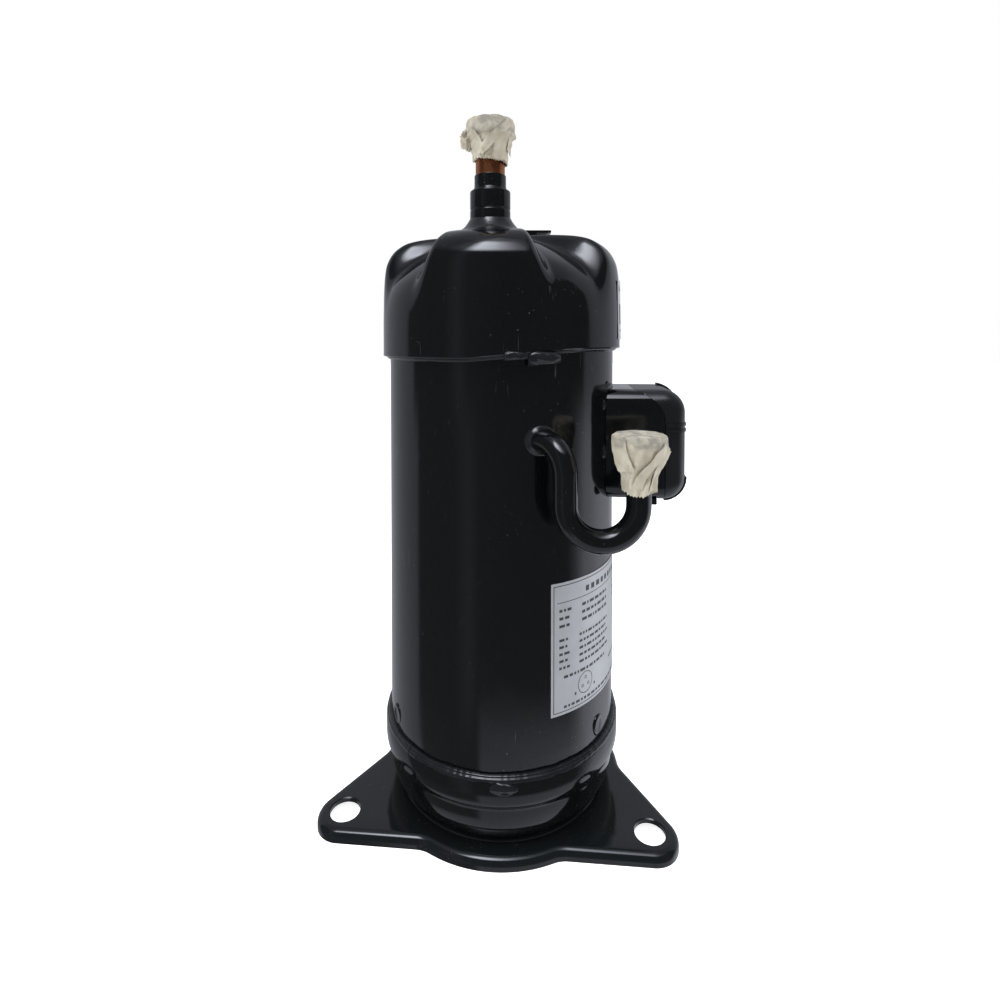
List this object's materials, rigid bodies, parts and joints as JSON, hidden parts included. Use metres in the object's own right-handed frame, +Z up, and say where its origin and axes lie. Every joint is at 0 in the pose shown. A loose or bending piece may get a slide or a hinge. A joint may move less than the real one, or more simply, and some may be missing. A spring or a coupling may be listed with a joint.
{
  "type": "refrigeration scroll compressor",
  "caption": "Tall hermetic compressor: black welded shell on a three-hole foot plate, top suction tube, bent side discharge tube, terminal box, scroll pump and motor inside.",
  "frame": {"origin": "centre of the flat bottom of the welded shell", "axes": "+Z up along the shell; +X towards the terminal box, which lies 7 degrees towards -Y; the suction tube and the discharge tube are on the -Y side"},
  "size_m": [0.2191, 0.2085, 0.4026],
  "materials": {
    "black_paint": "gloss black enamel",
    "black_plastic": "satin black moulded plastic",
    "copper": "drawn copper, heat-tinted by brazing",
    "winding_wire": "enamelled copper wire",
    "masking_tape": "creased paper masking tape",
    "rubber": "matt black rubber",
    "nameplate": "satin silver foil",
    "white_label": "white film label",
    "cast_iron": "machined grey iron",
    "steel": "ground steel",
    "lamination": "stacked electrical steel",
    "aluminium": "cast aluminium",
    "bronze": "bearing bronze",
    "glass": "fused glass bead"
  },
  "bodies": {
    "shell": {"shell_body": "black_paint", "top_cap": "black_paint", "bottom_cap": "black_paint", "top_weld_bead": "black_paint", "bottom_weld_bead": "black_paint", "foot_plate": "black_paint", "suction_collar": "black_paint", "suction_tube": "copper", "discharge_tube": "black_paint", "terminal_housing": "black_paint", "hermetic_terminal": "steel", "terminal_insulator": "rubber", "glass_seal_1": "glass", "glass_seal_2": "glass", "glass_seal_3": "glass", "terminal_pin_1": "steel", "terminal_pin_2": "steel", "terminal_pin_3": "steel", "nameplate": "nameplate", "cap_label": "white_label", "cap_bracket": "black_paint", "fixed_scroll": "cast_iron", "main_frame": "cast_iron", "main_bearing": "bronze", "lower_frame": "cast_iron", "lower_bearing": "bronze", "oil_strainer": "steel", "stator_core": "lamination", "winding_upper": "winding_wire", "winding_lower": "winding_wire", "valve_stop": "steel", "valve_screw": "steel", "frame_bolt_1": "steel", "frame_bolt_2": "steel", "frame_bolt_3": "steel", "frame_bolt_4": "steel"},
    "crank": {"crankshaft": "steel", "drive_bush": "bronze", "rotor_core": "lamination", "rotor_end_ring_upper": "aluminium", "rotor_end_ring_lower": "aluminium", "balance_weight_upper": "bronze", "balance_weight_lower": "bronze", "oil_pickup": "steel"},
    "orbiter": {"orbiting_scroll": "cast_iron"},
    "oldham": {"oldham_ring": "steel"},
    "reed": {"valve_reed": "steel"},
    "check": {"check_valve": "steel"},
    "cover": {"terminal_cover": "black_plastic"},
    "suction_seal": {"suction_plug": "rubber", "suction_tape": "masking_tape"},
    "discharge_seal": {"discharge_plug": "rubber", "discharge_tape": "masking_tape"}
  },
  "joints": [
    {"name": "shaft_spin", "type": "hinge", "parent": "shell", "child": "crank", "pos_m": [0, 0, 0.13], "axis": [0, 0, 1], "continuous": true},
    {"name": "scroll_orbit", "type": "hinge", "parent": "crank", "child": "orbiter", "pos_m": [0.004, 0, 0.254], "axis": [0, 0, 1], "continuous": true},
    {"name": "oldham_slide", "type": "slide", "parent": "shell", "child": "oldham", "axis": [1, 0, 0], "range_m": [-0.004, 0.004]},
    {"name": "reed_lift", "type": "hinge", "parent": "shell", "child": "reed", "pos_m": [-0.022, 0, 0.3065], "axis": [0, -1, 0], "range_deg": [0, 6], "stiffness_Nm_per_rad": 0.02},
    {"name": "check_valve_lift", "type": "slide", "parent": "shell", "child": "check", "axis": [0, 0, -1], "range_m": [0, 0.003]},
    {"name": "terminal_cover_off", "type": "slide", "parent": "shell", "child": "cover", "axis": [0.9925, -0.1219, 0], "range_m": [0, 0.045]},
    {"name": "suction_plug_off", "type": "slide", "parent": "shell", "child": "suction_seal", "axis": [0, 0, 1], "range_m": [0, 0.03]},
    {"name": "discharge_plug_off", "type": "slide", "parent": "shell", "child": "discharge_seal", "axis": [0, 0, 1], "range_m": [0, 0.03]}
  ],
  "couplings": [
    {"joint": "scroll_orbit", "follows": "shaft_spin", "ratio": -1}
  ]
}
